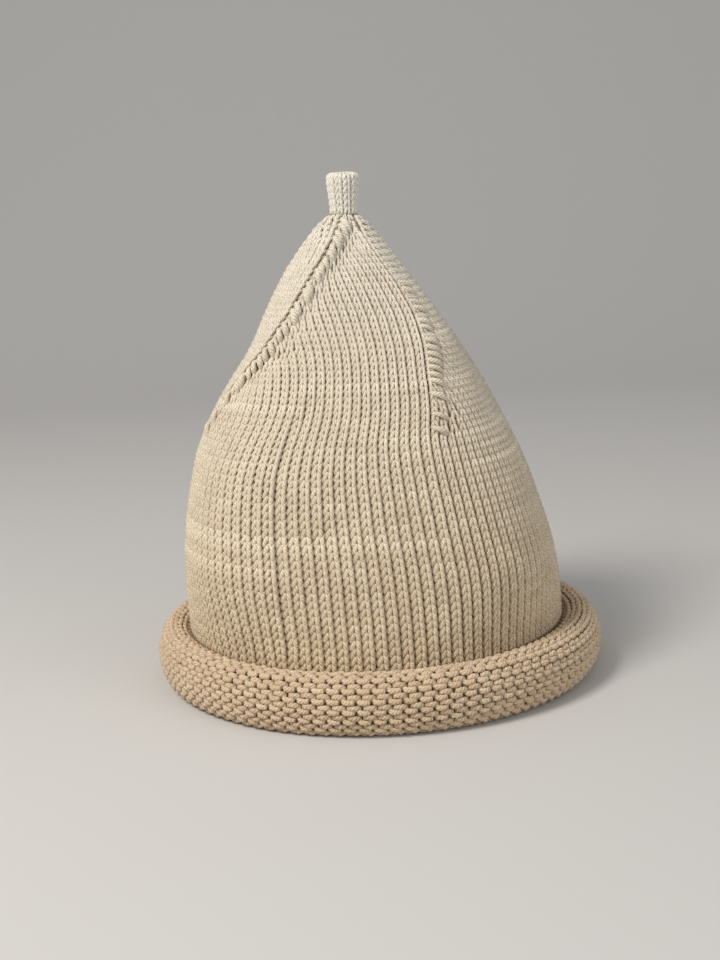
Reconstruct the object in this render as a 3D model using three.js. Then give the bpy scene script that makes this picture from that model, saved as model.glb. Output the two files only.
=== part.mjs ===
import * as THREE from 'three';

// A pointed knit hat that stands upright on its rolled brim.
// Millimetres, +Z up, front towards -Y, right-hand side towards +X, origin under the middle of the brim.

// Thickness of the knitted fabric, and the clearance between neighbouring pieces.
const WALL = 3.0;
const GAP = 0.3;

// The crown between the groove behind the brim and the foot of the stem.
// The outline as distances from the upright axis to the fabric on each side: one row per height.
const CROWN_FOOT = 22;
const CROWN_TOP = 209.2;
// Where the hollow under the tip ends, as a height on the outside of the fabric.
const HOLLOW_TOP = 204;
const CROWN_OUTLINE = [
  { z: 0, left: 87.4, right: 86.0, front: 85.6, back: 85.6 },
  { z: 22, left: 88.0, right: 85.7, front: 85.8, back: 85.8 },
  { z: 40, left: 88.4, right: 84.6, front: 85.6, back: 85.6 },
  { z: 60, left: 87.9, right: 81.4, front: 84.0, back: 84.4 },
  { z: 81, left: 85.4, right: 75.2, front: 79.8, back: 80.6 },
  { z: 93, left: 83.0, right: 71.2, front: 76.4, back: 77.6 },
  { z: 105, left: 79.8, right: 66.4, front: 72.4, back: 73.8 },
  { z: 117, left: 74.4, right: 60.5, front: 66.8, back: 68.2 },
  { z: 129, left: 67.9, right: 54.8, front: 60.4, back: 61.6 },
  { z: 140, left: 61.4, right: 49.0, front: 54.0, back: 55.0 },
  { z: 152, left: 53.9, right: 42.2, front: 46.8, back: 47.6 },
  { z: 164, left: 48.2, right: 34.4, front: 39.0, back: 39.6 },
  { z: 175, left: 42.2, right: 26.6, front: 31.8, back: 32.2 },
  { z: 185, left: 35.8, right: 19.2, front: 25.0, back: 25.4 },
  { z: 193, left: 29.9, right: 13.2, front: 19.4, back: 19.8 },
  { z: 200, left: 24.2, right: 7.9, front: 14.3, back: 14.7 },
  { z: 205, left: 20.0, right: 3.7, front: 10.3, back: 10.6 },
  { z: 209.2, left: 14.5, right: -0.7, front: 6.7, back: 6.9 },
];

// The four lines of decrease stitches that part the crown into sections, as headings in degrees.
// 0 is the front and 90 the right-hand side: one row per height, and all four lean as they rise.
const LINES = [
  { z: 0, a: -72, b: 24, c: 108, d: 196 },
  { z: 60, a: -73, b: 25, c: 110, d: 197 },
  { z: 114, a: -74, b: 26, c: 112, d: 199 },
  { z: 131, a: -65, b: 31, c: 118, d: 207 },
  { z: 145, a: -55, b: 35, c: 125, d: 215 },
  { z: 158, a: -46, b: 39, c: 131, d: 223 },
  { z: 170, a: -38, b: 43, c: 138, d: 230 },
  { z: 185, a: -29, b: 46, c: 145, d: 238 },
  { z: 200, a: -15, b: 42, c: 150, d: 247 },
  { z: 209.2, a: -5, b: 38, c: 152, d: 255 },
];

// How the sections are shaped: flatter in their middles above the first decreases, a raised seam
// along each line, and one soft upright fold at the front left.
const SHAPING = { start: 96, full: 140, corner: 0.03, seam: 0.9, seamWidth: 0.05 };
const FOLD = { section: 0, at: 0.455, rise: 1.9, sharpness: 7, fadeFrom: 120, fadeTo: 165 };

// Columns of facets in one section, as fractions of the way from its line to the next one.
const COLUMNS = [0, 0.06, 0.14, 0.23, 0.32, 0.4, 0.455, 0.52, 0.61, 0.71, 0.81, 0.91];
const SECTIONS = 4;
const OUTER_LEVELS = 22;
const INNER_LEVELS = 14;

// The brim: the lower edge of the fabric rolled outwards, up and over into a thick ring.
// It is flat underneath where it lies within the depth named rest.
const BRIM = { halfWidth: 103.6, halfDepth: 102.4, height: 27, rest: 0.7 };
// The roll's spiral: how far one turn steps inwards, and how far round it goes, in degrees.
// Past its crest it tucks in squarely against the crown: under 1 the corner there is fuller.
const ROLL = { step: 3.5, from: 180, crest: 450, to: 560, tuck: 0.65, facets: 17 };

// The stem: a small knitted cord on the tip, wider at its flat top than at its foot.
const STEM_X = -7.6;
const STEM_OUTSIDE = [
  { z: 209.5, radius: 6.4 },
  { z: 212.5, radius: 6.3 },
  { z: 217, radius: 6.7 },
  { z: 222, radius: 7.3 },
  { z: 225.6, radius: 7.4 },
  { z: 227, radius: 6.6 },
  { z: 227.6, radius: 5.2 },
];
const STEM_FACETS = 20;

// Read one column of a table at height z, joining its rows with a smooth curve.
function smooth(table, column, z) {
  const last = table.length - 1;
  const h = Math.min(Math.max(z, table[0].z), table[last].z);
  let i = 0;
  while (i < last - 1 && h > table[i + 1].z) {
    i += 1;
  }
  const slope = (k) => {
    const before = table[Math.max(k - 1, 0)];
    const after = table[Math.min(k + 1, last)];
    return (after[column] - before[column]) / (after.z - before.z);
  };
  const row = table[i];
  const next = table[i + 1];
  const span = next.z - row.z;
  const t = (h - row.z) / span;
  const t2 = t * t;
  const t3 = t2 * t;
  return (2 * t3 - 3 * t2 + 1) * row[column]
    + (t3 - 2 * t2 + t) * span * slope(i)
    + (3 * t2 - 2 * t3) * next[column]
    + (t3 - t2) * span * slope(i + 1);
}

function ease(from, to, value) {
  const t = Math.min(Math.max((value - from) / (to - from), 0), 1);
  return t * t * (3 - 2 * t);
}

// Heading, in radians, of the place u sections round from the first line at height z.
function heading(u, z) {
  const turn = Math.floor(u / SECTIONS);
  const along = u - turn * SECTIONS;
  const section = Math.min(Math.floor(along), SECTIONS - 1);
  const starts = ['a', 'b', 'c', 'd'].map((line) => smooth(LINES, line, z));
  starts.push(starts[0] + 360);
  const degrees = starts[section] + (starts[section + 1] - starts[section]) * (along - section);
  return THREE.MathUtils.degToRad(degrees + 360 * turn);
}

// A point on the outside of the crown, u sections round, at height z.
function crownPoint(u, z) {
  const left = smooth(CROWN_OUTLINE, 'left', z);
  const right = smooth(CROWN_OUTLINE, 'right', z);
  const front = smooth(CROWN_OUTLINE, 'front', z);
  const back = smooth(CROWN_OUTLINE, 'back', z);
  const angle = heading(u, z);
  const across = (left + right) / 2;
  const deep = (front + back) / 2;
  const fromLine = Math.abs(u - Math.round(u));
  const shaped = ease(SHAPING.start, SHAPING.full, z);
  const small = Math.min(across / 30, 1);
  const corner = SHAPING.corner * shaped * small * Math.cos(2 * Math.PI * u);
  const seam = SHAPING.seam * shaped * small * Math.exp(-((fromLine / SHAPING.seamWidth) ** 2));
  const foldAway = Math.abs(u - FOLD.section - FOLD.at);
  const fold = FOLD.rise * (1 - ease(FOLD.fadeFrom, FOLD.fadeTo, z)) * Math.exp(-foldAway * FOLD.sharpness);
  const grow = 1 + corner + (seam + fold) / across;
  return new THREE.Vector3(
    (right - left) / 2 + across * grow * Math.sin(angle),
    (back - front) / 2 - deep * grow * Math.cos(angle),
    z,
  );
}

// The inside of the crown: one wall thickness in from the outside, square to it.
function crownInside(u, z) {
  const du = 0.02;
  const dz = 1;
  const round = crownPoint(u + du, z).sub(crownPoint(u - du, z));
  const up = crownPoint(u, Math.min(z + dz, CROWN_TOP)).sub(crownPoint(u, z - dz));
  const outward = round.cross(up).normalize();
  return crownPoint(u, z).addScaledVector(outward, -WALL);
}

function roundPositions() {
  const all = [];
  for (let s = 0; s < SECTIONS; s += 1) {
    for (const fraction of COLUMNS) {
      all.push(s + fraction);
    }
  }
  return all;
}

// Join rings of points, each ring the same length, into a band. The last ring meets the first one
// where closed is true.
function bandIndex(rings, count, closed) {
  const index = [];
  const spans = closed ? rings : rings - 1;
  for (let i = 0; i < spans; i += 1) {
    const j = (i + 1) % rings;
    for (let k = 0; k < count; k += 1) {
      const l = (k + 1) % count;
      const a = i * count + k;
      const b = i * count + l;
      const c = j * count + l;
      const d = j * count + k;
      index.push(a, b, c, a, c, d);
    }
  }
  return index;
}

function meshFrom(points, index) {
  const positions = points.flatMap((p) => [p.x, p.y, p.z]);
  const geometry = new THREE.BufferGeometry();
  geometry.setAttribute('position', new THREE.Float32BufferAttribute(positions, 3));
  geometry.setIndex(index);
  return geometry;
}

// The crown: a closed point at the tip, one skin outside and one inside, joined round the foot.
// Its rings run from the inside of the tip down to the foot and up the outside to the top.
function crownGeometry() {
  const us = roundPositions();
  const count = us.length;
  const rings = [];
  for (let i = INNER_LEVELS; i >= 0; i -= 1) {
    const z = CROWN_FOOT + (HOLLOW_TOP - CROWN_FOOT) * (i / INNER_LEVELS) ** 0.9;
    rings.push(us.map((u) => {
      const p = crownInside(u, z);
      p.z = i === 0 ? CROWN_FOOT : p.z;
      return p;
    }));
  }
  for (let i = 0; i <= OUTER_LEVELS; i += 1) {
    const z = CROWN_FOOT + (CROWN_TOP - CROWN_FOOT) * (i / OUTER_LEVELS) ** 0.86;
    rings.push(us.map((u) => crownPoint(u, z)));
  }
  const points = rings.flat();
  const index = bandIndex(rings.length, count, false);
  const hollowTip = points.length;
  const top = hollowTip + 1;
  const middle = rings[0].reduce((sum, p) => sum.add(p), new THREE.Vector3()).divideScalar(count);
  middle.z += WALL / 3;
  points.push(middle, new THREE.Vector3(STEM_X, 0, CROWN_TOP));
  const lastRing = (rings.length - 1) * count;
  for (let k = 0; k < count; k += 1) {
    const l = (k + 1) % count;
    index.push(hollowTip, l, k);
    index.push(top, lastRing + k, lastRing + l);
  }
  return meshFrom(points, index);
}

// One cut through the brim: distances out and up for both faces of the rolled fabric.
// inner is the outside of the crown there, outer the outermost reach of the ring.
function rollSection(inner, outer) {
  const start = (outer - inner + ROLL.step / 2) / 2;
  const tall = (BRIM.height + BRIM.rest - WALL + ROLL.step) / 2;
  const middleOut = inner - WALL / 2 + start;
  const middleUp = WALL / 2 - BRIM.rest + tall - ROLL.step / 4;
  const centre = (degrees) => {
    const shrink = ROLL.step * (degrees - ROLL.from) / 360;
    const angle = THREE.MathUtils.degToRad(degrees);
    const fullness = degrees > ROLL.crest ? ROLL.tuck : 1;
    const swell = (value) => Math.sign(value) * Math.abs(value) ** fullness;
    return new THREE.Vector2(
      middleOut + (start - shrink) * swell(Math.cos(angle)),
      middleUp + (tall - shrink) * swell(Math.sin(angle)),
    );
  };
  const hollowSide = [];
  const plainSide = [];
  const add = (p, along) => {
    const side = new THREE.Vector2(-along.y, along.x).setLength(WALL / 2);
    const away = p.clone().sub(side);
    away.y = away.y < BRIM.rest ? 0 : away.y;
    hollowSide.push(p.clone().add(side));
    plainSide.push(away);
  };
  add(new THREE.Vector2(inner - WALL / 2, CROWN_FOOT - GAP), new THREE.Vector2(0, -1));
  for (let i = 0; i <= ROLL.facets; i += 1) {
    const degrees = ROLL.from + (ROLL.to - ROLL.from) * i / ROLL.facets;
    const along = centre(degrees + 1).sub(centre(degrees - 1));
    add(centre(degrees), along);
  }
  return hollowSide.concat(plainSide.reverse());
}

function brimGeometry() {
  const us = roundPositions();
  const cuts = us.map((u) => {
    const foot = crownPoint(u, CROWN_FOOT);
    const inner = Math.hypot(foot.x, foot.y);
    const angle = Math.atan2(foot.x, -foot.y);
    const outer = 1 / Math.hypot(Math.sin(angle) / BRIM.halfWidth, Math.cos(angle) / BRIM.halfDepth);
    return rollSection(inner, outer).map((p) => new THREE.Vector3(
      p.x * Math.sin(angle),
      -p.x * Math.cos(angle),
      p.y,
    ));
  });
  return meshFrom(cuts.flat(), bandIndex(cuts.length, cuts[0].length, true));
}

// The stem is turned about its own upright axis. Its stitches fill it, so it is solid.
function stemGeometry() {
  const profile = [new THREE.Vector2(0, STEM_OUTSIDE[0].z)];
  for (const row of STEM_OUTSIDE) {
    profile.push(new THREE.Vector2(row.radius, row.z));
  }
  profile.push(new THREE.Vector2(0, STEM_OUTSIDE[STEM_OUTSIDE.length - 1].z));
  return new THREE.LatheGeometry(profile, STEM_FACETS);
}

function yarn(color) {
  return new THREE.MeshStandardMaterial({ color, roughness: 0.92, metalness: 0 });
}

function piece(name, geometry, color) {
  const mesh = new THREE.Mesh(geometry, yarn(color));
  mesh.name = name;
  return mesh;
}

const crown = piece('crown', crownGeometry(), '#dccdb0');
const brim = piece('brim_roll', brimGeometry(), '#d3bf9c');

const stem = piece('stem', stemGeometry(), '#e6dac2');
stem.rotation.x = Math.PI / 2;
const stemPlace = new THREE.Group();
stemPlace.position.set(STEM_X, 0, 0);
stemPlace.add(stem);

const hat = new THREE.Group();
hat.add(crown, brim, stemPlace);

export default hat;
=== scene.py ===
import bpy
import math
import numpy as np
from mathutils import Matrix, Vector


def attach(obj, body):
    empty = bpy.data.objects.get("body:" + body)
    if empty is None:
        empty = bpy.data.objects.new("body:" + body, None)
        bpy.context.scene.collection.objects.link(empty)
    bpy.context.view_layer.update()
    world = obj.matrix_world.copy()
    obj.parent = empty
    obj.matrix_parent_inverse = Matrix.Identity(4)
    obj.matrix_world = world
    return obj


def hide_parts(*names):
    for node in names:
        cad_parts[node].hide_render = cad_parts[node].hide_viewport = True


# A pointed knit hat, standing on its rolled brim. Every stitch is a loop of plied yarn, laid on
# nearly the same surfaces as the solid model. Lengths are in millimetres until a mesh is made.

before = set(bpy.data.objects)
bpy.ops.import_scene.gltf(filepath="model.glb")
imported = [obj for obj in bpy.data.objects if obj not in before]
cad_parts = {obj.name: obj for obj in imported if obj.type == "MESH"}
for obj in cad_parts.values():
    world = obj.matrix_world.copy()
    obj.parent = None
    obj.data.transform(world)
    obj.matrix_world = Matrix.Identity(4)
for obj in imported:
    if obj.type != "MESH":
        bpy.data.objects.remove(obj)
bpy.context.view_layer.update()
rng = np.random.default_rng(404)

# Sizes of the fabric's surface

SECTIONS = 4
WALL = 3.0
CROWN_FOOT = 22.0
CROWN_TOP = 209.2
OUTLINE = np.array([
    # z, left, right, front, back
    (0, 87.4, 86.0, 85.6, 85.6),
    (22, 88.0, 85.7, 85.8, 85.8),
    (40, 88.4, 84.6, 85.6, 85.6),
    (60, 87.9, 81.4, 84.0, 84.4),
    (81, 85.4, 75.2, 79.8, 80.6),
    (93, 83.0, 71.2, 76.4, 77.6),
    (105, 79.8, 66.4, 72.4, 73.8),
    (117, 74.4, 60.5, 66.8, 68.2),
    (129, 67.9, 54.8, 60.4, 61.6),
    (140, 61.4, 49.0, 54.0, 55.0),
    (152, 53.9, 42.2, 46.8, 47.6),
    (164, 48.2, 34.4, 39.0, 39.6),
    (175, 42.2, 26.6, 31.8, 32.2),
    (185, 35.8, 19.2, 25.0, 25.4),
    (193, 29.9, 13.2, 19.4, 19.8),
    (200, 24.2, 7.9, 14.3, 14.7),
    (205, 20.0, 3.7, 10.3, 10.6),
    (209.2, 14.5, -0.7, 6.7, 6.9),
])
LINES = np.array([
    # z, then the heading of each decrease line in degrees
    (0, -72, 24, 108, 196),
    (60, -73, 25, 110, 197),
    (114, -74, 26, 112, 199),
    (131, -65, 29, 118, 207),
    (145, -55, 32, 125, 215),
    (158, -46, 36.5, 131, 223),
    (170, -38, 40.5, 138, 230),
    (185, -29, 40, 145, 238),
    (200, -15, 31, 150, 247),
    (209.2, -5, 27, 152, 255),
])
# Each decrease line stands out as a soft corner with a low seam on it. Both grow between two
# heights, and get smaller where the crown is narrower than SMALL_CROWN.
SHAPE_START = 96.0
SHAPE_FULL = 140.0
CORNER = 0.03
SEAM = 0.9
SEAM_WIDTH = 0.05
SMALL_CROWN = 30
# A soft upright fold at the front left, FOLD_AT sections round. It fades out between two heights.
FOLD_AT = 0.455
FOLD_RISE = 1.9
FOLD_SHARP = 7.0
FOLD_FADE = 120.0
FOLD_END = 165.0
# The crown is squarer than an ellipse from the first pair of heights to the second one.
SQUARE = 0.06
SQUARE_FOOT = (24, 64)
SQUARE_TOP = (150, 190)
# The rolled brim's outer size, and how much of its roundness is left where it rests.
BRIM_HALF_WIDTH = 103.6
BRIM_HALF_DEPTH = 102.4
BRIM_HEIGHT = 27.0
BRIM_REST = 0.7
PRESSED = 0.25
# The roll winds inwards by ROLL_STEP a turn. It starts next to the crown at ROLL_FROM degrees, goes
# under and up to its crest, and is fuller from there on. It is ROLL_END degrees long.
ROLL_STEP = 3.5
ROLL_FROM = 180.0
ROLL_CREST = 450.0
ROLL_TUCK = 0.65
ROLL_END = 362
ROLL_TALL = (BRIM_HEIGHT + BRIM_REST - WALL + ROLL_STEP) / 2
ROLL_UP = WALL / 2 - BRIM_REST + ROLL_TALL - ROLL_STEP / 4
STRAIGHT = CROWN_FOOT - ROLL_UP
# How far to each side a slope is measured, in sections and in millimetres.
NEAR_U = 0.01
NEAR_Z = 0.7


def smooth(table, column, z):
    """Read a table column at the heights z, joining its rows with a smooth curve."""
    zs = table[:, 0]
    vs = table[:, column]
    last = len(zs) - 1
    h = np.clip(z, zs[0], zs[-1])
    i = np.clip(np.searchsorted(zs, h, side="left") - 1, 0, last - 1)
    before = np.clip(np.arange(last + 1) - 1, 0, last)
    after = np.clip(np.arange(last + 1) + 1, 0, last)
    slope = (vs[after] - vs[before]) / (zs[after] - zs[before])
    span = zs[i + 1] - zs[i]
    t = (h - zs[i]) / span
    t2 = t * t
    t3 = t2 * t
    return ((2 * t3 - 3 * t2 + 1) * vs[i] + (t3 - 2 * t2 + t) * span * slope[i]
            + (3 * t2 - 2 * t3) * vs[i + 1] + (t3 - t2) * span * slope[i + 1])


def ease(lo, hi, x):
    """Rise smoothly from 0 at lo to 1 at hi."""
    t = np.clip((x - lo) / (hi - lo), 0, 1)
    return t * t * (3 - 2 * t)


def round_from(start, u):
    """How many sections u lies past start, from -2 to 2."""
    return np.mod(u - start + 2, SECTIONS) - 2


def unit(vectors):
    return vectors / np.linalg.norm(vectors, axis=-1, keepdims=True)


def heading(u, z):
    """The direction at u sections round, in radians. u is a whole number on each decrease line."""
    turn = np.floor(u / SECTIONS)
    along = u - turn * SECTIONS
    section = np.clip(np.floor(along).astype(int), 0, SECTIONS - 1)
    starts = [smooth(LINES, 1 + k, z) for k in range(SECTIONS)]
    starts.append(starts[0] + 360)
    starts = np.stack([np.broadcast_to(s, np.shape(u)) for s in starts])
    lo = np.take_along_axis(starts, section[None], 0)[0]
    hi = np.take_along_axis(starts, section[None] + 1, 0)[0]
    return np.radians(lo + (hi - lo) * (along - section) + 360 * turn)


def crown_point(u, z):
    """The outer face of the crown."""
    left, right, front, back = (smooth(OUTLINE, k, z) for k in (1, 2, 3, 4))
    angle = heading(u, z)
    across = (left + right) / 2
    deep = (front + back) / 2
    from_line = np.abs(u - np.round(u))
    shaped = ease(SHAPE_START, SHAPE_FULL, z)
    small = np.minimum(across / SMALL_CROWN, 1)
    corner = CORNER * shaped * small * np.cos(2 * np.pi * u)
    seam = SEAM * shaped * small * np.exp(-(from_line / SEAM_WIDTH) ** 2)
    away = np.abs(round_from(FOLD_AT, u))
    fold = FOLD_RISE * (1 - ease(FOLD_FADE, FOLD_END, z)) * np.exp(-away * FOLD_SHARP)
    square = SQUARE * np.sin(2 * angle) ** 2 * ease(*SQUARE_FOOT, z) * (1 - ease(*SQUARE_TOP, z))
    grow = 1 + corner + square + (seam + fold) / across
    return np.stack([
        (right - left) / 2 + across * grow * np.sin(angle),
        (back - front) / 2 - deep * grow * np.cos(angle),
        np.broadcast_to(z, np.shape(angle)).astype(float),
    ], -1)


def crown_middle(u, z):
    """The middle of the crown's thickness."""
    along = crown_point(u + NEAR_U, z) - crown_point(u - NEAR_U, z)
    up = crown_point(u, np.minimum(z + NEAR_Z, CROWN_TOP)) - crown_point(u, z - NEAR_Z)
    return crown_point(u, z) - unit(np.cross(along, up)) * WALL / 2


def roll_point(u, down):
    """The middle of the rolled fabric's thickness. A negative down is millimetres above the roll, on
    the straight part, and a positive one is degrees round the roll."""
    foot = crown_point(u, np.full_like(u, CROWN_FOOT))
    inner = np.hypot(foot[..., 0], foot[..., 1])
    angle = np.arctan2(foot[..., 0], -foot[..., 1])
    outer = 1 / np.hypot(np.sin(angle) / BRIM_HALF_WIDTH, np.cos(angle) / BRIM_HALF_DEPTH)
    start = (outer - inner + ROLL_STEP / 2) / 2
    middle_out = inner - WALL / 2 + start
    shrink = ROLL_STEP * np.maximum(down, 0) / 360
    degrees = ROLL_FROM + np.maximum(down, 0)
    turn = np.radians(degrees)
    fullness = np.where(degrees > ROLL_CREST, ROLL_TUCK, 1.0)
    r = middle_out + (start - shrink) * np.sign(np.cos(turn)) * np.abs(np.cos(turn)) ** fullness
    z = ROLL_UP + (ROLL_TALL - shrink) * np.sign(np.sin(turn)) * np.abs(np.sin(turn)) ** fullness
    z = z - np.minimum(down, 0)
    z = np.where(z < WALL / 2, WALL / 2 - (WALL / 2 - z) * PRESSED, z)
    return np.stack([r * np.sin(angle), -r * np.cos(angle), z], -1)


# The knitted fabric as one surface, u sections round and v courses down

# Courses are rows of stitches. They are counted downwards from the foot of the stem, because the
# stitches point that way. These are their heights in mm.
COURSE = 3.4
ROLL_COURSE = 4.3
SECTION_STITCHES = 27
FIRST_COURSE = 0.6
# The rounds with a decrease in each section, counted upwards from the lowest of them.
LOWEST_DECREASE = 33
DECREASE_ROUNDS = np.array([0, 2, 5, 7, 8, 9, 10, 11, 12, 13, 15, 16, 18, 19, 21, 22,
                            24, 25, 26, 27, 28, 29, 30, 31, 32])
DECREASE_AT = FIRST_COURSE + LOWEST_DECREASE - DECREASE_ROUNDS
ROUNDING = 1e-6
WALES = np.array([
    # course from the top, stitches in one section there
    (-2, 0.9), (0.6, 2.0), (8, 8.6), (14.6, 13.0), (20, 17.2),
    (26, 22.4), (30, 25.2), (34, 26.9), (38, 27), (99, 27),
])
# How many points are measured round, down the crown, down the straight part, and one for each
# degree of the roll.
MEASURED_ROUND = 64
MEASURED_CROWN = 400
MEASURED_STRAIGHT = 40
MEASURED_DEGREES = 400
# The grid's points round the hat, and its step in courses.
GRID_ROUND = 864
GRID_STEP = 0.25


def course_count(points, pitch):
    """How many courses have passed at each row of points down the fabric."""
    steps = np.linalg.norm(np.diff(points, axis=1), axis=-1).mean(0)
    return np.concatenate([[0], np.cumsum(steps)]) / pitch


measured_u = np.linspace(0, SECTIONS, MEASURED_ROUND, endpoint=False)
crown_heights = np.linspace(CROWN_TOP, CROWN_FOOT, MEASURED_CROWN)
crown_run = course_count(crown_point(*np.meshgrid(measured_u, crown_heights, indexing="ij")), COURSE)
CROWN_COURSES = crown_run[-1]
roll_downs = np.concatenate([
    np.linspace(-STRAIGHT, 0, MEASURED_STRAIGHT, endpoint=False),
    np.linspace(0, MEASURED_DEGREES, MEASURED_DEGREES + 1),
])
roll_run = CROWN_COURSES + course_count(
    roll_point(*np.meshgrid(measured_u, roll_downs, indexing="ij")), ROLL_COURSE)

grid_u, grid_v = np.meshgrid(np.arange(GRID_ROUND) * SECTIONS / GRID_ROUND,
                             np.arange(0, roll_run[-1], GRID_STEP), indexing="ij")
on_crown = grid_v <= CROWN_COURSES
crown_z = np.interp(grid_v, crown_run, crown_heights)
roll_down = np.interp(grid_v, roll_run, roll_downs)


def fabric_sides(points):
    """How the surface runs round in each section, and its outward direction."""
    along = (np.roll(points, -1, 0) - np.roll(points, 1, 0)) / (2 * SECTIONS / GRID_ROUND)
    down = np.gradient(points, GRID_STEP, axis=1)
    return along, unit(np.cross(down, along))


def hump(x, place, width, size):
    """A smooth hump of some size at a place, falling off over a width."""
    return np.exp(-((x - place) / width) ** 2) * size


# The crease at the front left: just right of it the fabric falls back and slowly returns. It fades
# in and out between pairs of heights.
CREASE_AT = 13 / SECTION_STITCHES
CREASE_STEP = 0.022
CREASE_DEPTH = 1.9
CREASE_WIDTH = 0.22
CREASE_RETURN = (0.5, 0.9)
CREASE_FOOT = (24, 40)
CREASE_TOP = (105, 150)
# The first decrease line stands up like a rope near the tip, with a shallow valley to its right.
# Each has its place beside the line, its width and its size, in mm.
ROPE = (-2.0, 4.5, 1.5)
VALLEY = (9.0, 6.0, 1.3)
ROPE_START = (118, 150)
ROPE_END = (196, 208)
ROPE_LOSS = 0.6
# The end of the roll presses against the crown: how far, and between which degrees it begins.
PRESS = 1.4
PRESS_FROM = (280, 345)


def moved_inwards(along):
    """How far the crease, the rope and the pressed end of the roll take the fabric inwards."""
    height = np.where(on_crown, crown_z, 0)
    beyond = round_from(CREASE_AT, grid_u)
    sunk = ease(-CREASE_STEP, CREASE_STEP, beyond) * np.exp(-np.maximum(beyond, 0) / CREASE_WIDTH)
    sunk = sunk * (1 - ease(*CREASE_RETURN, beyond))
    sunk = sunk * ease(*CREASE_FOOT, height) * (1 - ease(*CREASE_TOP, height))
    past_line = round_from(0, grid_u) * np.linalg.norm(along, axis=-1)
    rope = hump(past_line, *ROPE) - hump(past_line, *VALLEY)
    rope = rope * ease(*ROPE_START, height) * (1 - ROPE_LOSS * ease(*ROPE_END, height)) * on_crown
    press = PRESS * ease(*PRESS_FROM, np.where(on_crown, 0, roll_down))
    return CREASE_DEPTH * sunk - rope + press


grid = np.where(on_crown[..., None], crown_middle(grid_u, crown_z), roll_point(grid_u, roll_down))
grid_along, outward = fabric_sides(grid)
grid = grid - outward * moved_inwards(grid_along)[..., None]
grid_along, outward = fabric_sides(grid)


def sample(field, u, v):
    """Read a gridded field between its points."""
    a = np.mod(u, SECTIONS) / SECTIONS * GRID_ROUND
    # A little short of the last row, so that there is always a row after it.
    b = np.clip(v / GRID_STEP, 0, field.shape[1] - 1.001)
    i = np.floor(a).astype(int)
    j = np.floor(b).astype(int)
    fa = (a - i)[..., None]
    fb = (b - j)[..., None]
    i0 = i % GRID_ROUND
    i1 = (i + 1) % GRID_ROUND
    return ((field[i0, j] * (1 - fa) + field[i1, j] * fa) * (1 - fb)
            + (field[i0, j + 1] * (1 - fa) + field[i1, j + 1] * fa) * fb)


def stitches_at(v):
    """Stitches in one section at course v, as a smooth count that steers the columns."""
    return smooth(WALES, 1, v)


def whole_stitches(course):
    """Stitches in one section of a course, as knitted."""
    return int(SECTION_STITCHES - (DECREASE_AT >= course - ROUNDING).sum())


# How a loop is laid. height is its length in courses, omega how far a leg spreads from one end to
# the other, skew how far a loop leans as it rises, and pinch how close the two legs stand, all in
# stitch widths. lift is how far the legs stand out in front of the loop's two ends, neck how much
# further out the upper end lies than the lower one, and edge the same just beside the two ends.
# flat makes the two ends broader. shift moves the whole yarn outwards. leg is half the yarn's width
# in stitch widths, kept between least and most in mm, and thick is half its thickness in mm.
SMOOTH_SIDE = dict(height=1.9, omega=0.18, skew=0.155, pinch=0.034, lift=0.82, neck=0.12, edge=0.0,
                   flat=0.0, shift=-0.2, leg=0.226, thick=1.15, least=0.74, most=1.2)
BUMPY_SIDE = dict(height=1.5, omega=0.205, skew=0.13, pinch=0.0, lift=1.0, neck=-0.28, edge=0.3,
                  flat=0.12, shift=0.6, leg=0.24, thick=1.2, least=0.95, most=1.38)
# How unevenly the loops are laid.
UNEVEN_LENGTH = 0.05
UNEVEN_SIDE = 0.035
UNEVEN_DEPTH = 0.1
UNEVEN_WIDTH = 0.05
UNEVEN_MOST = 2
# How many stitches beside a line close up or spread to fit it.
FITTED = 4
# Courses with a stretch of paler yarn: course, then where it starts and ends, in sections.
PALER = ((26.6, 0.45, 1.3), (29.6, -0.1, 0.42), (34.6, 0.9, 1.6), (46.6, -0.35, 0.75),
         (47.6, -0.2, 0.95), (50.6, -0.5, 0.45), (19.6, 1.0, 1.7), (38.6, 1.2, 2.3),
         (53.6, 1.6, 2.6), (43.6, 2.4, 3.3))
SAME_COURSE = 0.1
# A paler stretch fades over a little length outside and inside its two ends.
PALE_OUTSIDE = 0.1
PALE_INSIDE = 0.05
PALE_LEAD = 0.5


def paleness(course, u):
    """How pale the yarn is at u, from 0 to 1."""
    pale = np.zeros(len(u))
    for at, start, end in PALER:
        if abs(at - course) < SAME_COURSE:
            along = np.mod(u - start + PALE_LEAD, SECTIONS) - PALE_LEAD
            length = end - start
            begun = ease(-PALE_OUTSIDE, PALE_INSIDE, along)
            pale += begun * (1 - ease(length - PALE_INSIDE, length + PALE_OUTSIDE, along))
    return pale


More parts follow.
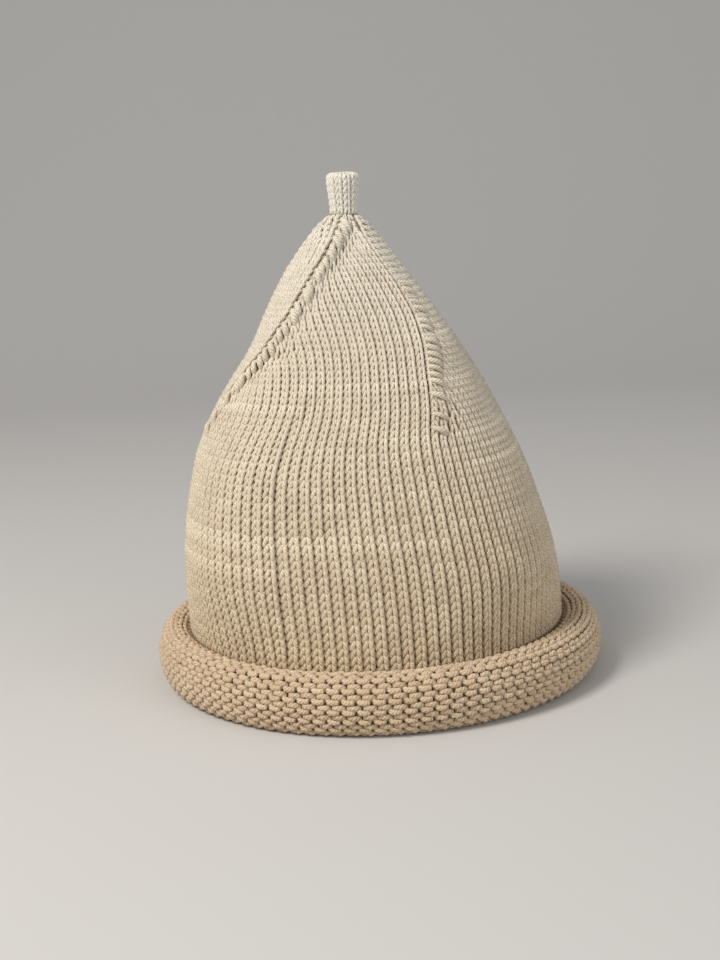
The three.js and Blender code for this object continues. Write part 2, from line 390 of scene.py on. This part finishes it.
def course_path(course, segments, style):
    """The yarn's centre line through one course: positions, outward directions, stitch widths,
    depths, paleness, and where each point lies within its column."""
    n = whole_stitches(course)
    section = np.repeat(np.arange(SECTIONS), n * segments)
    i = np.tile(np.repeat(np.arange(n), segments), SECTIONS)
    t = np.tile(np.arange(segments) / segments, SECTIONS * n)
    uneven = rng.normal(0, 1, (SECTIONS * n, 4)).clip(-UNEVEN_MOST, UNEVEN_MOST)
    uneven = np.repeat(uneven, segments, axis=0)
    window = np.sin(np.pi * t) ** 2
    wave = (np.cos(2 * np.pi * t) - style["flat"] * np.cos(6 * np.pi * t)) / (1 - style["flat"])
    dv = -style["height"] / 2 * wave * (1 + UNEVEN_LENGTH * uneven[:, 0] * window)
    within = (t + style["omega"] * np.sin(4 * np.pi * t)
              + style["pinch"] * np.sin(2 * np.pi * t) + UNEVEN_SIDE * uneven[:, 1] * window)
    to_line = n - (i + within - style["skew"] * dv)
    # Columns run on smoothly, and only the stitches next to a line close up or spread to fit it.
    here = stitches_at(np.array(float(course)))
    near = ease(n - min(FITTED, n), n, to_line)
    hold = np.clip(i + t, 0, 1)
    u = section + 1 - (to_line + (here - n) * near) / stitches_at(course + dv * hold)
    v = course + dv
    depth = (-np.cos(4 * np.pi * t) + style["neck"] * np.cos(2 * np.pi * t)
             + style["edge"] * np.cos(6 * np.pi * t))
    off = style["shift"] + style["lift"] * depth + UNEVEN_DEPTH * uneven[:, 2] * window
    out = unit(sample(outward, u, v))
    across = sample(grid_along, u, v)
    reach = np.linalg.norm(across, axis=-1)
    across /= reach[:, None]
    width = reach / n * (1 + UNEVEN_WIDTH * uneven[:, 3] * window)
    points = sample(grid, u, v) + out * off[:, None]
    return points, out, width, depth, paleness(course, u), (within, width, across)


# Yarn as tubes in one mesh

# How deep a vertex lies, which sets the painted shade of deep yarn: the middle, and the shares of the
# yarn's own depth and of its roundness.
FRONT_MIDDLE = 0.5
FRONT_DEPTH = 0.32
FRONT_ROUND = 0.34
# How dark the painted shade is on the flanks that face the gap between two columns, and from where to
# where.
BETWEEN_COLUMNS_SHADE = 0.5
BETWEEN_COLUMNS_SHADE_WIDTH = (0.03, 0.2)
# No yarn lies lower than this, because it is pressed flat where the roll rests.
LOWEST = 0.02
# The longest strip in the baking square, in mm, and the space left beside and at the ends of each.
STRIP = 430.0
STRIP_MARGIN = 0.06
STRIP_END = 0.002
METRES = 0.001


def tube(points, outs, half_width, half_thick, sides, closed):
    """A yarn along points. Returns its vertices, its quads, the length run at each point and the
    number of rows of quads."""
    m = len(points)
    if closed:
        tangent = np.roll(points, -1, 0) - np.roll(points, 1, 0)
    else:
        tangent = np.gradient(points, axis=0)
    side = unit(np.cross(unit(tangent), outs))
    face = np.cross(side, unit(tangent))
    a = np.arange(sides) * 2 * np.pi / sides
    ring = (np.cos(a)[None, :, None] * side[:, None] * half_width[:, None, None]
            + np.sin(a)[None, :, None] * face[:, None] * half_thick[:, None, None])
    verts = (points[:, None] + ring).reshape(-1, 3)
    rows = np.arange(m if closed else m - 1)
    k = np.arange(sides)
    r0 = rows[:, None] * sides
    r1 = ((rows + 1) % m)[:, None] * sides
    quads = np.stack([r0 + k, r1 + k, r1 + (k + 1) % sides, r0 + (k + 1) % sides], -1).reshape(-1, 4)
    step = np.linalg.norm(np.roll(points, -1, 0) - points, axis=-1)
    return verts, quads, np.concatenate([[0], np.cumsum(step)]), len(rows)


def corner_uvs(x0, x1, y0, y1):
    """UVs for the four corners of each quad, from its two ends and two sides."""
    corners = [np.stack(pair, -1) for pair in ((x0, y0), (x1, y0), (x1, y1), (x0, y1))]
    return np.stack(corners, -2).reshape(-1, 2)


class Yarns:
    """Collects many tubes into one mesh with one UV set for the ply and one for baking."""

    def __init__(self):
        self.verts = []
        self.quads = []
        self.ply = []
        self.front = []
        self.pale = []
        self.strips = []
        self.count = 0

    def add(self, points, outs, half_width, half_thick, sides, start, depth,
            closed=True, pale=None, column=None):
        """Add one tube. start is the yarn's length before it, and the length after it is returned."""
        verts, quads, run, rows = tube(points, outs, half_width, half_thick, sides, closed)
        run = start + run
        # How deep in the fabric each vertex lies, from 0 at the back to 1 at the front. The material
        # paints shade on the deep ones.
        own = np.sin(np.arange(sides) * 2 * np.pi / sides)
        front = np.clip(FRONT_MIDDLE + FRONT_DEPTH * depth[:, None] + FRONT_ROUND * own[None], 0, 1)
        if column is not None:
            # The flanks that face the gap between two columns get painted shade.
            within, width, across = column
            ring = verts.reshape(len(points), sides, 3) - points[:, None]
            at = within[:, None] + (ring * across[:, None]).sum(-1) / width[:, None]
            front = front * (1 - BETWEEN_COLUMNS_SHADE * (1 - ease(*BETWEEN_COLUMNS_SHADE_WIDTH, np.abs(at - np.round(at)))))
        self.front.append(front.ravel())
        self.pale.append(np.zeros(len(points) * sides) if pale is None else np.repeat(pale, sides))
        k = np.arange(sides)
        ends = (run[:rows, None] + 0 * k, run[1:rows + 1, None] + 0 * k)
        edges = ((k / sides)[None] + 0 * ends[0], ((k + 1) / sides)[None] + 0 * ends[0])
        self.ply.append(corner_uvs(*ends, *edges))
        self.strips.append((rows, sides, float(run[-1] - run[0])))
        self.verts.append(verts)
        self.quads.append(quads + self.count)
        self.count += len(verts)
        return float(run[-1])

    def bake_uvs(self):
        """Each tube is cut into strips that are laid in rows across the baking square."""
        parts = [max(1, int(math.ceil(length / STRIP))) for rows, sides, length in self.strips]
        total = sum(parts)
        uvs = []
        row = 0
        for (rows, sides, length), count in zip(self.strips, parts):
            cut = np.minimum((np.arange(rows) * count) // rows, count - 1)
            first = np.array([np.argmax(cut == c) for c in range(count)])
            size = np.array([(cut == c).sum() for c in range(count)])
            k = np.arange(sides)
            x0 = (np.arange(rows) - first[cut]) / size[cut]
            x1 = x0 + 1 / size[cut]
            ends = [STRIP_END + (1 - 2 * STRIP_END) * x[:, None] + 0 * k for x in (x0, x1)]
            edges = [(row + cut[:, None] + STRIP_MARGIN + (1 - 2 * STRIP_MARGIN) * edge[None] / sides)
                     / total for edge in (k, k + 1)]
            uvs.append(corner_uvs(*ends, *edges))
            row += count
        return np.concatenate(uvs)

    def make(self, name, material, node):
        """Make the mesh and place it as one piece."""
        verts = np.concatenate(self.verts)
        verts[:, 2] = np.maximum(verts[:, 2], LOWEST)
        verts *= METRES
        quads = np.concatenate(self.quads)
        mesh = bpy.data.meshes.new(name)
        mesh.vertices.add(len(verts))
        mesh.vertices.foreach_set("co", verts.astype(np.float32).ravel())
        mesh.loops.add(quads.size)
        mesh.loops.foreach_set("vertex_index", quads.astype(np.int32).ravel())
        mesh.polygons.add(len(quads))
        mesh.polygons.foreach_set("loop_start", np.arange(0, quads.size, 4, dtype=np.int32))
        mesh.polygons.foreach_set("loop_total", np.full(len(quads), 4, dtype=np.int32))
        mesh.update(calc_edges=True)
        mesh.polygons.foreach_set("use_smooth", np.ones(len(quads), dtype=bool))
        for key, uvs in (("Ply", np.concatenate(self.ply)), ("OFBake", self.bake_uvs())):
            mesh.uv_layers.new(name=key).data.foreach_set("uv", uvs.astype(np.float32).ravel())
        # front carries the depth that the materials turn into painted shade.
        for key, values in (("front", self.front), ("pale", self.pale)):
            field = mesh.attributes.new(key, "FLOAT", "POINT")
            field.data.foreach_set("value", np.concatenate(values).astype(np.float32))
        mesh.validate()
        place_piece(name, mesh, material, node)


def place_piece(name, mesh, material, node):
    mesh.materials.append(material)
    obj = bpy.data.objects.new(name, mesh)
    bpy.context.scene.collection.objects.link(obj)
    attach(obj, "root")
    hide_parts(node)


# Materials

WHITE = (1, 1, 1)
# The yarn's plies, and the length in which they make a full turn.
PLIES = 4
PLY_TURN = 5.0
# The lengths over which the dye changes, and how much each of them counts.
PATCH = 60.0
PATCH_SHARE = 0.65
STRETCH = 700.0
STRETCH_SHARE = 0.35
# The length of a fibre fleck, and how many fit round the yarn.
FLECK = 0.6
FLECKS_ROUND = 11.0
# What a paler stretch adds to the tone, and the tones of the deep and the pale colour.
PALER_TONE = 0.36
DEEP_TONE = 0.36
PALE_TONE = 0.66
# Heights in metres between which the colour goes from the low pair to the top pair: painted shade low
# down, painted light higher up.
LIGHT_RAMP_LOW = 0.03
LIGHT_RAMP_HIGH = 0.2
# Tints of the painted shade in grooves between plies, of the gaps between fibres, of the inner face,
# and of the painted shade on yarn in a gap.
GROOVE_SHADE_TINT = (0.72, 0.67, 0.60)
FLECK_TINT = (0.76, 0.72, 0.66)
INNER_TINT = (0.9, 0.88, 0.84)
GAP_SHADE_TINT = (0.38, 0.30, 0.21)
# The stem's painted shade in a gap is lighter, as painted light at the tip.
STEM_GAP_SHADE_TINT = (0.80, 0.74, 0.65)


class Nodes:
    """Short calls that add nodes to a material."""

    def __init__(self, name):
        self.material = bpy.data.materials.new(name)
        self.material.use_nodes = True
        self.tree = self.material.node_tree
        self.shader = self.tree.nodes["Principled BSDF"]

    def new(self, kind):
        return self.tree.nodes.new(kind)

    def feed(self, socket, value):
        """Set a socket to a number or a colour, or link it to another socket."""
        if isinstance(value, (int, float)):
            socket.default_value = value
        elif isinstance(value, tuple):
            socket.default_value = (*value, 1)
        else:
            self.tree.links.new(value, socket)

    def maths(self, kind, *values):
        node = self.new("ShaderNodeMath")
        node.operation = kind
        for socket, value in zip(node.inputs, values):
            self.feed(socket, value)
        return node.outputs[0]

    def times(self, a, b):
        return self.maths("MULTIPLY", a, b)

    def noise(self, x, y, detail):
        at = self.new("ShaderNodeCombineXYZ")
        self.feed(at.inputs["X"], x)
        self.feed(at.inputs["Y"], y)
        node = self.new("ShaderNodeTexNoise")
        node.inputs["Scale"].default_value = 1.0
        node.inputs["Detail"].default_value = detail
        self.feed(node.inputs["Vector"], at.outputs[0])
        return node.outputs["Fac"]

    def mix(self, kind, factor, a, b):
        node = self.new("ShaderNodeMix")
        node.data_type = "RGBA"
        node.blend_type = kind
        # Inputs 0, 6 and 7 are the factor and the two colours.
        for index, value in ((0, factor), (6, a), (7, b)):
            self.feed(node.inputs[index], value)
        return node.outputs[2]

    def ramp(self, value, *stops):
        node = self.new("ShaderNodeValToRGB")
        elements = node.color_ramp.elements
        for k, (at, colour) in enumerate(stops):
            stop = elements[k] if k < 2 else elements.new(at)
            stop.position = at
            stop.color = (*colour, 1)
        self.feed(node.inputs["Fac"], value)
        return node.outputs["Color"]

    def spread(self, value, low, high):
        """Map low to 0 and high to 1."""
        node = self.new("ShaderNodeMapRange")
        node.inputs["From Min"].default_value = low
        node.inputs["From Max"].default_value = high
        self.feed(node.inputs["Value"], value)
        return node.outputs["Result"]

    def attribute(self, name):
        node = self.new("ShaderNodeAttribute")
        node.attribute_name = name
        return node.outputs["Fac"]

    def split(self, vector):
        node = self.new("ShaderNodeSeparateXYZ")
        self.feed(node.inputs[0], vector)
        return node.outputs


def yarn_material(name, top_pale, top_deep, low_pale, low_deep, gap):
    """Plied yarn. gap is the tint of the painted shade on yarn that lies deep between its neighbours.
    """
    nodes = Nodes(name)
    shader = nodes.shader
    shader.inputs["Roughness"].default_value = 0.9
    shader.inputs["Specular IOR Level"].default_value = 0.25
    shader.inputs["Sheen Weight"].default_value = 0.25
    shader.inputs["Sheen Roughness"].default_value = 0.5

    uv = nodes.new("ShaderNodeUVMap")
    uv.uv_map = "Ply"
    place = nodes.split(uv.outputs["UV"])
    run = place["X"]
    side = place["Y"]

    # The plies wind round each other to the left.
    phase = nodes.maths("SUBTRACT", nodes.times(run, 1 / PLY_TURN), side)
    wave = nodes.maths("SINE", nodes.times(phase, PLIES * 2 * math.pi))
    ply = nodes.maths("MULTIPLY_ADD", wave, 0.5, 0.5)

    # The dye is uneven along the yarn, in long soft patches, and the fibres show as short flecks.
    patches = nodes.noise(nodes.times(run, 1 / PATCH), 0.0, 2.0)
    stretches = nodes.noise(nodes.times(run, 1 / STRETCH), 0.0, 1.0)
    fibres = nodes.noise(nodes.times(run, 1 / FLECK), nodes.times(side, FLECKS_ROUND), 3.0)
    tone = nodes.maths("MULTIPLY_ADD", patches, PATCH_SHARE, nodes.times(stretches, STRETCH_SHARE))
    tone = nodes.maths("ADD", tone, nodes.times(nodes.attribute("pale"), PALER_TONE))
    # The colour grows paler with height: painted light from above, and painted shade low down.
    position = nodes.new("ShaderNodeNewGeometry").outputs["Position"]
    rise = nodes.spread(nodes.split(position)["Z"], LIGHT_RAMP_LOW, LIGHT_RAMP_HIGH)
    deep = nodes.mix("MIX", rise, low_deep, top_deep)
    pale = nodes.mix("MIX", rise, low_pale, top_pale)
    colour = nodes.mix("MIX", nodes.spread(tone, DEEP_TONE, PALE_TONE), deep, pale)

    # Grooves between the plies get a little painted shade, and gaps between the fibres are a little
    # darker.
    groove_shade = nodes.ramp(ply, (0.0, GROOVE_SHADE_TINT), (0.38, WHITE))
    flecks = nodes.ramp(fibres, (0.36, FLECK_TINT), (0.6, WHITE))
    # Yarn that lies deep between its neighbours gets painted shade, darker and warmer, and the inner
    # face is pale.
    shade = nodes.ramp(nodes.attribute("front"),
                       (0.02, INNER_TINT), (0.13, gap), (0.25, gap), (0.88, WHITE))
    for tint in (groove_shade, flecks, shade):
        colour = nodes.mix("MULTIPLY", 1.0, colour, tint)
    nodes.feed(shader.inputs["Base Color"], colour)

    bump = nodes.new("ShaderNodeBump")
    bump.inputs["Strength"].default_value = 0.45
    bump.inputs["Distance"].default_value = 0.0004
    nodes.feed(bump.inputs["Height"], nodes.maths("MULTIPLY_ADD", fibres, 0.8, ply))
    nodes.feed(shader.inputs["Normal"], bump.outputs["Normal"])
    return nodes.material


def back_shade_material(name, dark, light):
    """Painted shade between the loops, with a rough grain."""
    nodes = Nodes(name)
    nodes.shader.inputs["Roughness"].default_value = 0.95
    nodes.shader.inputs["Specular IOR Level"].default_value = 0.1
    fuzz = nodes.new("ShaderNodeTexNoise")
    fuzz.inputs["Scale"].default_value = 900
    nodes.feed(fuzz.inputs["Vector"], nodes.new("ShaderNodeTexCoord").outputs["Object"])
    tones = nodes.ramp(fuzz.outputs["Fac"], (0.3, dark), (0.7, light))
    nodes.feed(nodes.shader.inputs["Base Color"], tones)
    return nodes.material


# Each pair is the pale and the deep colour of the uneven dye. The crown's top pair and the stem's are
# paler as painted light; the crown's low pair and the brim's are darker, mostly painted shade, and
# warmer in tone.
CROWN_TOP_LIT_PAIR = ((0.97, 0.93, 0.82), (0.84, 0.78, 0.66))
CROWN_LOW_SHADED_PAIR = ((0.92, 0.78, 0.56), (0.70, 0.555, 0.37))
BRIM_SHADED_PAIR = ((0.87, 0.70, 0.50), (0.69, 0.52, 0.345))
STEM_LIT_PAIR = ((0.99, 0.97, 0.90), (0.95, 0.92, 0.83))
crown_yarn = yarn_material("crown_yarn", *CROWN_TOP_LIT_PAIR, *CROWN_LOW_SHADED_PAIR, GAP_SHADE_TINT)
brim_yarn = yarn_material("brim_yarn", *BRIM_SHADED_PAIR, *BRIM_SHADED_PAIR, GAP_SHADE_TINT)
stem_yarn = yarn_material("stem_yarn", *STEM_LIT_PAIR, *STEM_LIT_PAIR, STEM_GAP_SHADE_TINT)

# The crown and the brim, course by course

SEGMENTS = 12
SIDES = 5
# The crown's courses are in four pieces: these are the ends of the upper two, in courses.
TIP_END = 17
UPPER_END = 33


def knit(name, courses, material, node, style, start, face=1):
    """Knit some courses into one mesh and return the yarn's length after them. face is 1 where the
    smooth side shows and -1 for the bumpy one."""
    band = Yarns()
    for course in courses:
        points, out, width, depth, pale, column = course_path(course, SEGMENTS, style)
        half = np.clip(width * style["leg"], style["least"], style["most"])
        thick = np.full(len(points), style["thick"])
        # depth sets the painted shade of deep yarn, and column, on the smooth side only, sets the
        # painted shade between columns.
        start = band.add(points, out * face, half, thick, SIDES, start, depth * face,
                         pale=pale, column=column if face > 0 else None)
    band.make(name, material, node)
    return start


courses = [FIRST_COURSE + k for k in range(int(CROWN_COURSES - FIRST_COURSE) + 1)]
low_courses = [c for c in courses if c >= UPPER_END]
last_roll = np.interp(ROLL_END, roll_downs, roll_run)
roll_courses = [courses[-1] + 1 + k for k in range(int(last_roll - courses[-1]))]
half_low = len(low_courses) // 2
half_roll = len(roll_courses) // 2
yarn = 0.0
for name, rows in (
    ("crown_tip_courses", [c for c in courses if c < TIP_END]),
    ("crown_upper_courses", [c for c in courses if TIP_END <= c < UPPER_END]),
    ("crown_middle_courses", low_courses[:half_low]),
    ("crown_lower_courses", low_courses[half_low:]),
):
    yarn = knit(name, rows, crown_yarn, "crown", SMOOTH_SIDE, yarn)
for name, rows in (
    ("brim_inner_courses", roll_courses[:half_roll]),
    ("brim_outer_courses", roll_courses[half_roll:]),
):
    yarn = knit(name, rows, brim_yarn, "brim_roll", BUMPY_SIDE, yarn, face=-1)

# Between the loops the backs of other loops show, drawn as one rough layer whose dark colour is painted
# shade

LAYER_ROUND = 324
LAYER_START = 0.8
BRIM_START = courses[-1] + 0.5
# How far inwards of the fabric's middle each layer lies. The roll shows its other side.
CROWN_LAYER_IN = 0.7
BRIM_LAYER_IN = -1.2


def back_layer(name, node, start, stop, inwards, dark, light):
    """A sheet just behind the loops, coloured with painted shade, from course start to course stop."""
    down = np.linspace(start, stop, int(stop - start) + 1)
    u, v = np.meshgrid(np.arange(LAYER_ROUND) * SECTIONS / LAYER_ROUND, down, indexing="ij")
    points = sample(grid, u, v) - sample(outward, u, v) * inwards
    column = np.arange(LAYER_ROUND)[:, None]
    row = np.arange(len(down) - 1)[None]
    a = column * len(down) + row
    b = (column + 1) % LAYER_ROUND * len(down) + row
    quads = np.stack([a, a + 1, b + 1, b], -1).reshape(-1, 4)
    mesh = bpy.data.meshes.new(name)
    mesh.from_pydata((points.reshape(-1, 3) * METRES).tolist(), [], quads.tolist())
    for poly in mesh.polygons:
        poly.use_smooth = True
    place_piece(name, mesh, back_shade_material(name, dark, light), node)


# Dark and light tones of the painted shade behind the loops.
back_layer("crown_back_shade_layer", "crown", LAYER_START, BRIM_START, CROWN_LAYER_IN,
           (0.20, 0.15, 0.095), (0.44, 0.35, 0.245))
back_layer("brim_back_shade_layer", "brim_roll", BRIM_START, last_roll, BRIM_LAYER_IN,
           (0.26, 0.18, 0.11), (0.48, 0.36, 0.24))

# The decrease stitches

# For each line: how many stitches a bar spans and how many courses it drops.
BAR_SHAPES = ((1.35, 2.3), (2.2, 1.55), (1.9, 1.8), (1.9, 1.8))
BAR_POINTS = 11
# A bar's ends lie BAR_DEEP from the fabric's middle, and its middle rises and widens from there.
BAR_DEEP = -0.9
BAR_RISE = 2.9
BAR_HALF = 0.7
BAR_SWELL = 0.7
BAR_FULLNESS = 0.7
BAR_THICKNESS = 0.95
BAR_UNEVEN = 0.14
BAR_UNEVEN_MOST = 0.25
# Towards the tip the bars get finer, apart from those on the first line.
BAR_FINEST = 0.62
BAR_FINE_COURSES = (4, 20)


def bars():
    """One broad slanting stitch over each place where two stitches are knitted together."""
    band = Yarns()
    run = 0.0
    k = np.linspace(0, 1, BAR_POINTS)
    rise = np.sin(np.pi * k) ** BAR_FULLNESS
    for line, (span, drop) in enumerate(BAR_SHAPES):
        for at in DECREASE_AT:
            uneven = rng.normal(0, BAR_UNEVEN, 2).clip(-BAR_UNEVEN_MOST, BAR_UNEVEN_MOST)
            u = line + (span + uneven[0]) * k / whole_stitches(at)
            v = at - 0.5 * drop + (drop + uneven[1]) * k
            out = unit(sample(outward, u, v))
            full = 1.0 if line == 0 else BAR_FINEST + (1 - BAR_FINEST) * ease(*BAR_FINE_COURSES, at)
            points = sample(grid, u, v) + out * (BAR_DEEP + BAR_RISE * full * rise)[:, None]
            half = (BAR_HALF + (BAR_SWELL + uneven[1]) * rise) * full
            # The ends of each bar lie deep and get painted shade.
            run = band.add(points, out, half, half * BAR_THICKNESS, SIDES + 1, run, 2 * rise - 1,
                           closed=False)
    band.make("decrease_stitches", crown_yarn, "crown")


bars()

# The stem

STEM_X = -7.6
STEM_PROFILE = np.array([
    # z, radius, up the outside and in over the top
    (209.5, 6.4), (212.5, 6.3), (217, 6.7), (222, 7.3), (225.6, 7.4), (227, 6.6),
    (227.4, 5.0), (227.6, 3.0), (227.5, 1.2),
])
STEM_STITCHES = 11
STEM_SEGMENTS = 14
STEM_COURSE = 3.0
# Along the profile: where the first course lies, and how near the end the last one may come.
STEM_FIRST = 1.4
STEM_LAST_GAP = 0.4
STEM_LIFT = 0.6
STEM_SHIFT = 0.2
STEM_THICK = 1.0
STEM_LEAST = 0.55
STEM_MOST = 1.2
STEM_TIGHTEST = 0.3
NEAR_STEM = 0.3


def stem():
    """A small knitted cord whose courses go up its side and close over its top."""
    band = Yarns()
    length = np.concatenate([[0], np.cumsum(np.hypot(*np.diff(STEM_PROFILE, axis=0).T))])

    def profile(s):
        return np.interp(s, length, STEM_PROFILE[:, 0]), np.interp(s, length, STEM_PROFILE[:, 1])

    n = STEM_STITCHES
    t = np.tile(np.arange(STEM_SEGMENTS) / STEM_SEGMENTS, n)
    i = np.repeat(np.arange(n), STEM_SEGMENTS)
    dv = STEM_COURSE * SMOOTH_SIDE["height"] / 2 * np.cos(2 * np.pi * t)
    x = (i + t + SMOOTH_SIDE["omega"] * np.sin(4 * np.pi * t) + SMOOTH_SIDE["skew"] * dv / STEM_COURSE
         + SMOOTH_SIDE["pinch"] * np.sin(2 * np.pi * t))
    a = x / n * 2 * np.pi
    depth = -np.cos(4 * np.pi * t)
    off = STEM_SHIFT - WALL / 2 + STEM_LIFT * depth
    thick = np.full(len(t), STEM_THICK)
    run = 0.0
    course = STEM_FIRST
    while course < length[-1] - STEM_LAST_GAP:
        s = np.clip(course + dv, 0.0, length[-1])
        z, r = profile(s)
        z_after, r_after = profile(s + NEAR_STEM)
        z_before, r_before = profile(s - NEAR_STEM)
        size = np.hypot(z_after - z_before, r_before - r_after)
        out_r = (z_after - z_before) / size
        out_z = (r_before - r_after) / size
        r = np.maximum(r + out_r * off, STEM_TIGHTEST)
        points = np.stack([STEM_X + r * np.sin(a), -r * np.cos(a), z + out_z * off], -1)
        out = np.stack([out_r * np.sin(a), -out_r * np.cos(a), out_z], -1)
        half = np.clip(2 * np.pi * r / n * SMOOTH_SIDE["leg"], STEM_LEAST, STEM_MOST)
        # depth sets the painted shade of the stem's deep yarn.
        run = band.add(points, out, half, thick, SIDES + 1, run, depth)
        course += STEM_COURSE
    band.make("stem_courses", stem_yarn, "stem")


stem()

# Floor, light and camera, in metres

FLOOR_FRONT = -2.5
FLOOR_BEND = 0.9
FLOOR_RADIUS = 0.9
FLOOR_TOP = 4.0
FLOOR_HALF = 4.0
FLOOR_STEPS = 16


def add_floor():
    """A pale sheet that curves up behind the hat without an edge."""
    bend = [(FLOOR_FRONT, 0.0), (FLOOR_BEND, 0.0)]
    for k in range(1, FLOOR_STEPS + 1):
        turn = math.radians(90 * k / FLOOR_STEPS)
        bend.append((FLOOR_BEND + FLOOR_RADIUS * math.sin(turn), FLOOR_RADIUS * (1 - math.cos(turn))))
    bend.append((FLOOR_BEND + FLOOR_RADIUS, FLOOR_TOP))
    mesh = bpy.data.meshes.new("floor")
    mesh.from_pydata(
        [(x, y, z) for y, z in bend for x in (-FLOOR_HALF, FLOOR_HALF)], [],
        [(2 * k, 2 * k + 1, 2 * k + 3, 2 * k + 2) for k in range(len(bend) - 1)])
    for poly in mesh.polygons:
        poly.use_smooth = True
    material = bpy.data.materials.new("floor")
    material.use_nodes = True
    shader = material.node_tree.nodes["Principled BSDF"]
    shader.inputs["Base Color"].default_value = (0.62, 0.60, 0.57, 1)
    shader.inputs["Roughness"].default_value = 0.9
    mesh.materials.append(material)
    floor = bpy.data.objects.new("floor", mesh)
    bpy.context.scene.collection.objects.link(floor)


def area_light(name, location, target, size, power, colour):
    """A square lamp at location that shines towards target."""
    data = bpy.data.lights.new(name, "AREA")
    data.size = size
    data.energy = power
    data.color = colour
    light = bpy.data.objects.new(name, data)
    bpy.context.scene.collection.objects.link(light)
    light.location = location
    x, y, z = np.array(target) - np.array(location)
    light.rotation_euler = (math.atan2(math.hypot(x, y), -z), 0, math.atan2(y, x) - math.pi / 2)


add_floor()
world = bpy.data.worlds.new("studio")
bpy.context.scene.world = world
world.use_nodes = True
world.node_tree.nodes["Background"].inputs["Color"].default_value = (0.86, 0.88, 0.92, 1)
world.node_tree.nodes["Background"].inputs["Strength"].default_value = 0.50
area_light("key", (-0.68, -0.62, 1.05), (0, 0, 0.12), 0.4, 13.0, (1.0, 0.97, 0.93))
area_light("fill", (0.9, -0.9, 0.6), (0, 0, 0.1), 0.8, 2.4, (0.97, 0.98, 1.0))
bpy.context.scene.view_settings.view_transform = "Standard"

# The camera's focal length in picture heights, where it stands, and how many degrees it is turned.
FOCAL_HEIGHTS = 1442.0 / 960
SENSOR_HEIGHT = 36
ASIDE = 0.0059
DISTANCE = 0.654
CAMERA_UP = 0.221
PITCH = 11.5
ROLL = -2.6
camera_data = bpy.data.cameras.new("camera")
camera_data.sensor_fit = "VERTICAL"
camera_data.sensor_height = SENSOR_HEIGHT
camera_data.lens = FOCAL_HEIGHTS * SENSOR_HEIGHT
camera = bpy.data.objects.new("camera", camera_data)
bpy.context.scene.collection.objects.link(camera)
turned = Matrix.Rotation(math.radians(90 - PITCH), 4, "X") @ Matrix.Rotation(math.radians(ROLL), 4, "Z")
camera.matrix_world = Matrix.Translation(Vector((-ASIDE, -DISTANCE, CAMERA_UP))) @ turned
bpy.context.scene.camera = camera
